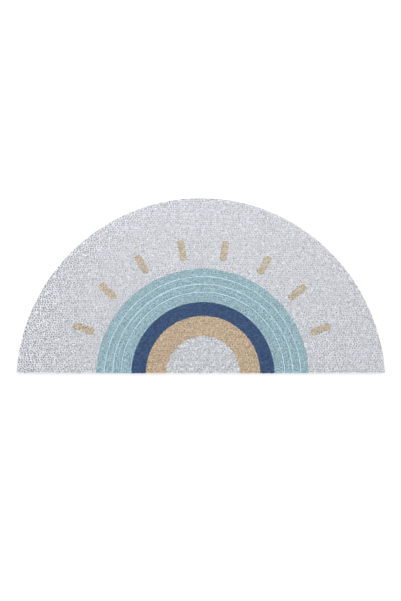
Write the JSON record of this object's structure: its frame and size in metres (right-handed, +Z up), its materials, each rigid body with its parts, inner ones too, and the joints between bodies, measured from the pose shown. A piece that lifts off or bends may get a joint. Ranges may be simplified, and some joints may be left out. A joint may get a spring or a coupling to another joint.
{
  "type": "doormat",
  "caption": "Half-round doormat of looped PVC coil on a thin backing sheet, with an inlaid rising sun of half rings and short rays; it lies flat by a door and takes the dirt off shoes.",
  "frame": {"origin": "middle of the underside's bounding box, on the floor", "axes": "+X along the straight edge, +Y from the straight edge towards the curved rim, +Z up out of the tread"},
  "size_m": [0.8, 0.4, 0.012],
  "materials": {
    "backing": "matte soft PVC sheet with a fine non-slip grain",
    "pale_coil": "looped PVC filament, pale cool grey, satin",
    "tan_coil": "looped PVC filament, sandy tan, satin",
    "navy_coil": "looped PVC filament, navy blue, satin",
    "teal_coil": "looped PVC filament, soft teal, satin"
  },
  "bodies": {
    "root": {"backing": "backing", "field": "pale_coil", "sun_centre": "pale_coil", "tan_ring": "tan_coil", "navy_ring": "navy_coil", "teal_ring": "teal_coil", "ray_1": "tan_coil", "ray_2": "tan_coil", "ray_3": "tan_coil", "ray_4": "tan_coil", "ray_5": "tan_coil", "ray_6": "tan_coil", "ray_7": "tan_coil", "ray_8": "tan_coil"}
  },
  "joints": []
}
